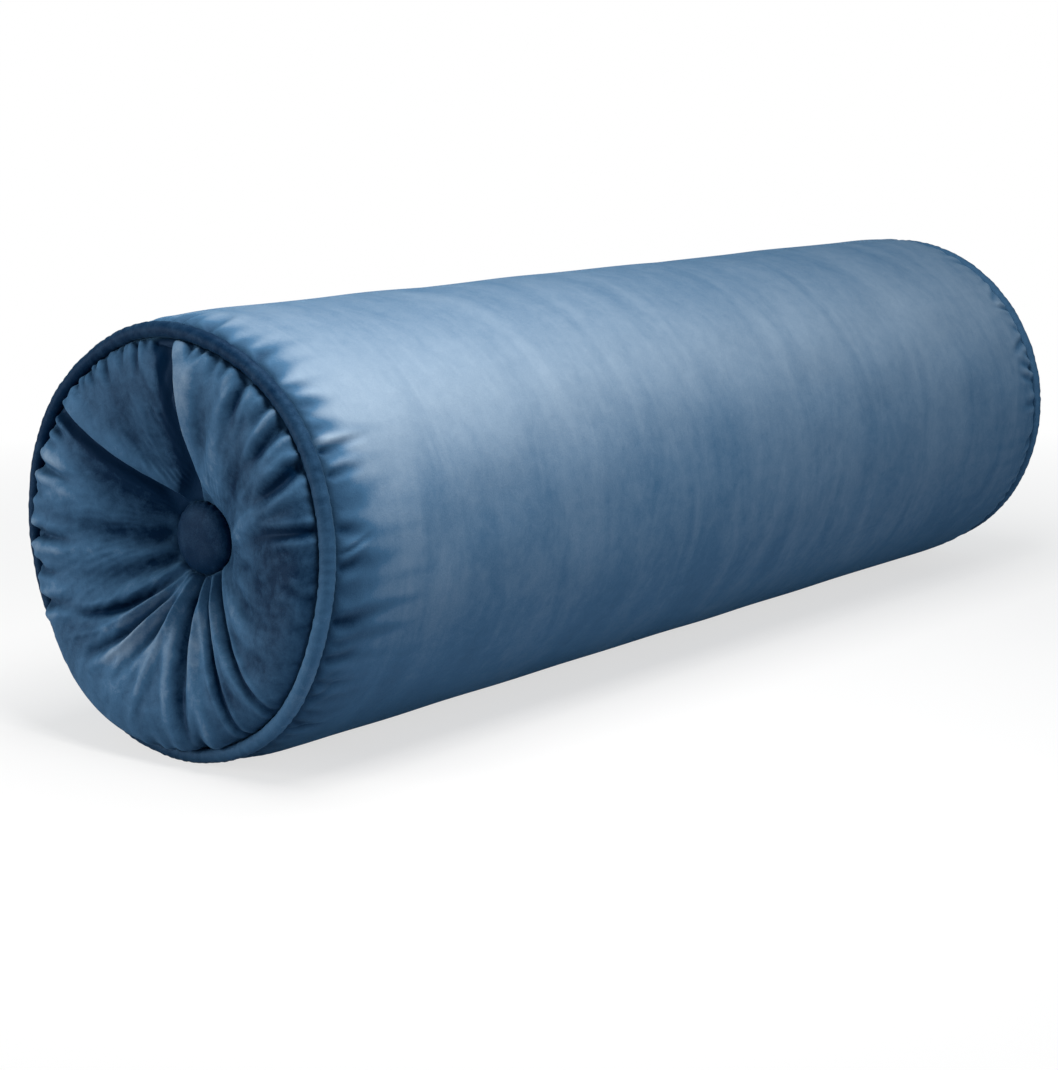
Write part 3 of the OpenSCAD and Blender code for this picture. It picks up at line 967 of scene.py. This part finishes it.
class MESH_OT_bolster_piping(bpy.types.Operator):
    """Makes the velvet-covered piping round both seams."""

    bl_idname = "mesh.bolster_piping"
    bl_label = "Piping"

    def execute(self, context):
        cloth = velvet("piping velvet", -0.05, streaks=0.3, nap="nap", sheen=0.08)
        clock, round_it = full_turn(640)[:, None], full_turn(28)[None, :]
        for side, seed in (("left", 3), ("right", 31)):
            wobble = 1 + 0.025 * ripple(clock, 0, seed, 5, 40, 9)
            wobble = wobble + 0.03 * ripple(clock, round_it, seed + 1, 60, 150, 6)
            thick = (context.scene.bolster_sizes.piping_radius - 0.00005) * wobble
            piece = ring_piece(f"piping_{side}", side, clock, round_it, thick)
            # Painted shade on the piping: dark over the upper left of the left seam, lighter at its
            # lower right, and a little darker all round on the right seam.
            brushed = -0.04
            if side == "left":
                brushed = -0.42 + 0.52 * swell(clock, *degrees(122, 50))
            keep_number(piece, "nap", np.broadcast_to(brushed, thick.shape))
            piece.data.materials.append(cloth)
            place_velvet(piece, f"piping_cover_{side}")
            self.cord(side)
        return {"FINISHED"}

    def cord(self, side):
        """The cotton cord inside: three strands laid round one another along the same ring."""
        clock, round_it = full_turn(360)[:, None], full_turn(12)[None, :]
        strands = 0.90 + 0.06 * np.cos(3 * round_it - 45 * clock)
        thick = extent(f"piping_cord_{side}").x / 2 * strands
        piece = ring_piece(f"laid_cord_{side}", side, clock, round_it, thick)
        piece.data.materials.append(plain_cloth("laid cotton cord", (0.72, 0.68, 0.58, 1)))
        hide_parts(f"piping_cord_{side}")
        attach(piece, "cushion")


# A button's outline from its middle out: radius as a share of the button's, and height in
# millimetres.
BUTTON = (
    (0, -12.9), (0.4, -13.0), (0.75, -13.9), (0.95, -15.6), (1.02, -17.8), (0.99, -19.6),
    (0.88, -20.6), (0.62, -20.5),
)


class MESH_OT_bolster_buttons(bpy.types.Operator):
    """Makes both covered buttons: a low dome with small pleats where the velvet turns under."""

    bl_idname = "mesh.bolster_buttons"
    bl_label = "Buttons"

    def execute(self, context):
        sizes = context.scene.bolster_sizes
        # The buttons take a much darker copy of the velvet: painted shade for the recess they sit
        # in.
        cloth = velvet("button velvet", -0.45, streaks=0.3, sheen=0.05)
        rim = sizes.button_radius
        corners = [(max(share * rim / MM, 0.02), out) for share, out in BUTTON]
        dome = even_path(corners, 0.55) * MM
        radius, out = dome[:, :1], dome[:, 1:]
        edge = step_up(radius, 0.6 * rim, rim) * step_up(-out, 0.014, 0.018)
        clock = full_turn(128)[None, :]
        for side, seed in (("left", 61), ("right", 77)):
            spread = radius + 0.00028 * edge * ripple(clock, radius * 100, seed, 14, 26, 7)
            sag = 0.00035 * ripple(clock, radius * 90, seed + 1, 2, 4, 5)
            sag = sag * step_up(radius, 0.003, 0.012) * (out > -0.0185)
            points = end_point(side, spread * np.sin(clock), spread * np.cos(clock), out + sag)
            piece = grid_mesh(f"button_{side}", points, wrap_columns=True)
            close_hub(piece, clock.size)
            outward_faces(piece, END_FACING[side])
            piece.data.materials.append(cloth)
            place_velvet(piece, f"button_cover_{side}")
        return {"FINISHED"}


def close_hub(piece, count):
    """Fills the tiny opening at the first row of a grid that goes all the way round."""
    shape = bmesh.new()
    shape.from_mesh(piece.data)
    shape.verts.ensure_lookup_table()
    hub = shape.verts[:count]
    middle_point = Vector(np.mean([v.co for v in hub], axis=0))
    bmesh.ops.pointmerge(shape, verts=hub, merge_co=middle_point)
    shape.normal_update()
    shape.to_mesh(piece.data)
    shape.free()
    piece.data.shade_smooth()


class MESH_OT_bolster_hardware(bpy.types.Operator):
    """Gives the zip and the pieces inside the cushion their finishes."""

    bl_idname = "mesh.bolster_hardware"
    bl_label = "Zip and insides"

    def execute(self, context):
        colours = context.scene.bolster_colours
        finishes = {
            "zip_tape": woven_tape("zip tape"),
            "zip_coil": coil_nylon("zip coil"),
            "zip_metal": painted_metal("zip metal", tuple(colours.zip_metal)),
            "button_metal": painted_metal("button metal", (0.55, 0.56, 0.57, 1), 1.0),
            "button_wire": painted_metal("button wire", (0.45, 0.45, 0.46, 1), 1.0),
            "backing_plastic": plain_cloth("backing plastic", (0.80, 0.80, 0.78, 1)),
            "thread": plain_cloth("waxed thread", (0.02, 0.04, 0.09, 1)),
            "piping_cord": plain_cloth("cotton cord", (0.72, 0.68, 0.58, 1)),
            "casing_cloth": plain_cloth("casing cotton", (0.82, 0.82, 0.79, 1)),
            "fibre": plain_cloth("polyester fibre", (0.86, 0.86, 0.85, 1)),
            "foam": foam_cells("foam", (0.80, 0.73, 0.45, 1)),
        }
        for part in frame["record"]["subparts"]:
            node = frame["nodes"][part["node"]]
            finish = finishes.get(part["material_slot"])
            if finish is None:
                continue
            for holder in node.material_slots:
                holder.material = finish
        return {"FINISHED"}


# ---------- the studio ----------


WARM, NEUTRAL = (1.0, 0.95, 0.90), (1.0, 1.0, 1.0)
# Softboxes: name, place, target, edge in metres, watts and tint.
LIGHTS = (
    ("overhead", (-0.10, -0.05, 0.90), (-0.10, 0.0, 0.10), 0.45, 4.9, WARM),
    ("key", (-0.34, -0.28, 0.64), (-0.24, 0.0, 0.15), 0.22, 3.35, WARM),
    ("side", (-1.10, 0.70, 0.22), (-0.30, 0.0, 0.10), 0.40, 9.0, WARM),
    ("front", (-0.10, -1.70, 0.50), (0.00, 0.0, 0.10), 1.2, 9.0, NEUTRAL),
)
# The camera's place from the middle of the left seam in body radii, its yaw and pitch in
# radians, and its focal length in millimetres.
CAMERA_PLACE = (-6.7710, -7.5794, 2.0621)
CAMERA_YAW, CAMERA_PITCH, CAMERA_LENS = 0.882582, 0.198427, 78.70
FLOOR_EDGE = 8.0


class SCENE_OT_bolster_studio(bpy.types.Operator):
    """Sets the floor, the soft lights and the camera."""

    bl_idname = "scene.bolster_studio"
    bl_label = "Studio"

    def execute(self, context):
        colours = context.scene.bolster_colours
        sizes = context.scene.bolster_sizes
        sides = np.array([-FLOOR_EDGE, FLOOR_EDGE])
        floor = grid_mesh("floor", np.stack([*np.meshgrid(sides, -sides), np.zeros((2, 2))], -1))
        outward_faces(floor, (0, 0, 1))
        floor.data.materials.append(self.paper("studio floor", tuple(colours.floor)))
        world = bpy.data.worlds.new("studio")
        world.use_nodes = True
        self.sky(world.node_tree)
        context.scene.world = world
        context.scene.view_settings.view_transform = "Standard"
        for light in LIGHTS:
            soft_light(*light)
        lens = bpy.data.cameras.new("camera")
        lens.sensor_width = 36.0
        lens.lens = CAMERA_LENS
        camera = bpy.data.objects.new("camera", lens)
        context.scene.collection.objects.link(camera)
        seam = Vector((-sizes.seam_distance / 2, 0.0, sizes.axis_height))
        camera.location = seam + sizes.body_radius * Vector(CAMERA_PLACE)
        level = math.cos(CAMERA_PITCH)
        aim = Vector(
            (math.sin(CAMERA_YAW) * level, math.cos(CAMERA_YAW) * level, -math.sin(CAMERA_PITCH))
        )
        camera.rotation_mode = "QUATERNION"
        camera.rotation_quaternion = aim.to_track_quat("-Z", "Y")
        lens.clip_start, lens.clip_end = 0.01, 50.0
        context.scene.camera = camera
        return {"FINISHED"}

    def paper(self, name, pale):
        """Pale seamless paper, evenly lit to the eye, that runs out into the white backdrop."""
        r = Recipe(name)
        haze = r.noise(r.place(), 3.0, 2.0, 0.5)
        seen = r.node("ShaderNodeLightPath", output="Is Camera Ray")
        far = r.node("ShaderNodeVectorMath", {"operation": "LENGTH"}, {0: r.place()}, "Value")
        share = ((far - 0.25) * 1.8).within() * 0.35 + 0.65
        cool = (pale[0] * 0.46, pale[1] * 0.52, pale[2] * 0.58, 1.0)
        shade = r.mix(seen, cool, r.mix(haze, toned(pale, 0.97), pale))
        matt = r.node("ShaderNodeBsdfDiffuse", {}, {"Color": shade})
        even = r.node("ShaderNodeEmission", {}, {"Color": (1, 1, 1, 1), "Strength": 1.0})
        both = r.node("ShaderNodeMixShader", {}, {0: seen * share, 1: matt, 2: even})
        r.node("ShaderNodeOutputMaterial", {}, {"Surface": both})
        return r.material

    def sky(self, tree):
        """White where it is seen, and a dim, even, cool light everywhere else."""
        seen = tree.nodes.new("ShaderNodeLightPath").outputs["Is Camera Ray"]
        strength = tree.nodes.new("ShaderNodeMapRange")
        strength.inputs["To Min"].default_value = 0.20
        strength.inputs["To Max"].default_value = 1.0
        tree.links.new(seen, strength.inputs["Value"])
        backdrop = tree.nodes["Background"]
        tint = tree.nodes.new("ShaderNodeMix")
        tint.data_type = "RGBA"
        tint.inputs[6].default_value = (0.60, 0.83, 1.0, 1.0)
        tint.inputs[7].default_value = (1.0, 1.0, 1.0, 1.0)
        tree.links.new(seen, tint.inputs[0])
        tree.links.new(tint.outputs[2], backdrop.inputs["Color"])
        tree.links.new(strength.outputs["Result"], backdrop.inputs["Strength"])


def soft_light(name, place, target, size, power, tint):
    """A square softbox at a place, turned towards a target."""
    lamp = bpy.data.lights.new(name, "AREA")
    lamp.shape = "SQUARE"
    lamp.size = size
    lamp.energy = power
    lamp.color = tint
    holder = bpy.data.objects.new(name, lamp)
    bpy.context.scene.collection.objects.link(holder)
    holder.location = place
    holder.rotation_mode = "QUATERNION"
    holder.rotation_quaternion = (Vector(target) - Vector(place)).to_track_quat("-Z", "Y")
    return holder


class VIEW3D_PT_bolster(bpy.types.Panel):
    """Lists the cushion's sizes, colours and pieces."""

    bl_idname = "VIEW3D_PT_bolster"
    bl_label = "Velvet bolster"
    bl_space_type = "VIEW_3D"
    bl_region_type = "UI"
    bl_category = "Bolster"

    def draw(self, context):
        for group in (context.scene.bolster_sizes, context.scene.bolster_colours):
            box = self.layout.box()
            for name in group.__annotations__:
                box.prop(group, name)
        for operator in OPERATORS:
            self.layout.operator(operator.bl_idname)


OPERATORS = (
    MESH_OT_bolster_body,
    MESH_OT_bolster_ends,
    MESH_OT_bolster_piping,
    MESH_OT_bolster_buttons,
    MESH_OT_bolster_hardware,
    SCENE_OT_bolster_studio,
)
CLASSES = (BolsterSizes, BolsterColours) + OPERATORS + (VIEW3D_PT_bolster,)


def register():
    for each in CLASSES:
        bpy.utils.register_class(each)
    bpy.types.Scene.bolster_sizes = bpy.props.PointerProperty(type=BolsterSizes)
    bpy.types.Scene.bolster_colours = bpy.props.PointerProperty(type=BolsterColours)


def unregister():
    del bpy.types.Scene.bolster_colours
    del bpy.types.Scene.bolster_sizes
    for each in reversed(CLASSES):
        bpy.utils.unregister_class(each)


def main():
    """Makes every piece in order."""
    register()
    bpy.ops.mesh.bolster_body()
    bpy.ops.mesh.bolster_ends()
    bpy.ops.mesh.bolster_piping()
    bpy.ops.mesh.bolster_buttons()
    bpy.ops.mesh.bolster_hardware()
    bpy.ops.scene.bolster_studio()


if __name__ == "__main__":
    main()
